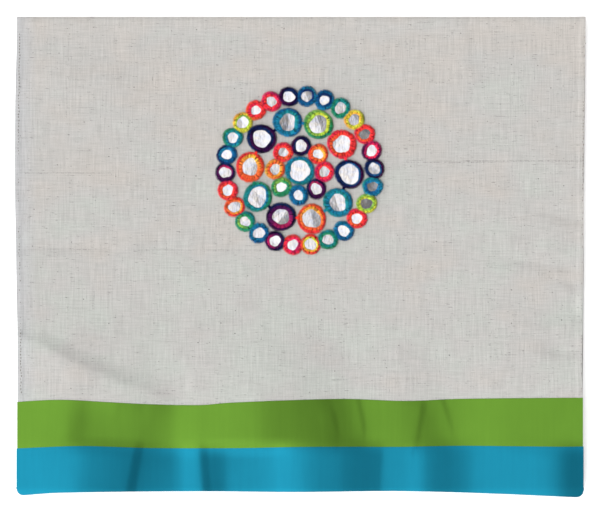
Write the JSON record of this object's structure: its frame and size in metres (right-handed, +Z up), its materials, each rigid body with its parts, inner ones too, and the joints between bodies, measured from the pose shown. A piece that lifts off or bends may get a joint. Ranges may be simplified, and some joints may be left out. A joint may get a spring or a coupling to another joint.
{
  "type": "embroidered table runner, folded",
  "caption": "Folded pale linen table runner with a green and a blue band across its end and a round medallion of thread-bound mirrors.",
  "frame": {"origin": "middle of the base of the folded runner, on the surface it lies on", "axes": "+X across the runner from left to right seen from its decorated end, -Y towards the decorated end, +Y towards the back fold, +Z up"},
  "size_m": [0.4072, 0.3426, 0.0115],
  "materials": {
    "linen": "plain woven, slubby, undyed",
    "green_band": "satin",
    "blue_band": "satin",
    "mirror": "silvered glass",
    "thread": "many-coloured stitched cotton thread"
  },
  "bodies": {
    "root": {"linen_panel": "linen", "green_band": "green_band", "blue_band": "blue_band", "mirror_centre": "mirror", "mirror_inner_01": "mirror", "mirror_inner_02": "mirror", "mirror_inner_03": "mirror", "mirror_inner_04": "mirror", "mirror_inner_05": "mirror", "mirror_inner_06": "mirror", "mirror_inner_07": "mirror", "mirror_inner_08": "mirror", "mirror_middle_01": "mirror", "mirror_middle_02": "mirror", "mirror_middle_03": "mirror", "mirror_middle_04": "mirror", "mirror_middle_05": "mirror", "mirror_middle_06": "mirror", "mirror_middle_07": "mirror", "mirror_middle_08": "mirror", "mirror_middle_09": "mirror", "mirror_middle_10": "mirror", "mirror_rim_01": "mirror", "mirror_rim_02": "mirror", "mirror_rim_03": "mirror", "mirror_rim_04": "mirror", "mirror_rim_05": "mirror", "mirror_rim_06": "mirror", "mirror_rim_07": "mirror", "mirror_rim_08": "mirror", "mirror_rim_09": "mirror", "mirror_rim_10": "mirror", "mirror_rim_11": "mirror", "mirror_rim_12": "mirror", "mirror_rim_13": "mirror", "mirror_rim_14": "mirror", "mirror_rim_15": "mirror", "mirror_rim_16": "mirror", "mirror_rim_17": "mirror", "mirror_rim_18": "mirror", "mirror_rim_19": "mirror", "mirror_rim_20": "mirror", "mirror_rim_21": "mirror", "mirror_rim_22": "mirror", "mirror_rim_23": "mirror", "mirror_rim_24": "mirror", "mirror_rim_25": "mirror", "mirror_rim_26": "mirror", "stitching_centre": "thread", "stitching_inner": "thread", "stitching_middle": "thread", "stitching_rim": "thread"}
  },
  "joints": []
}
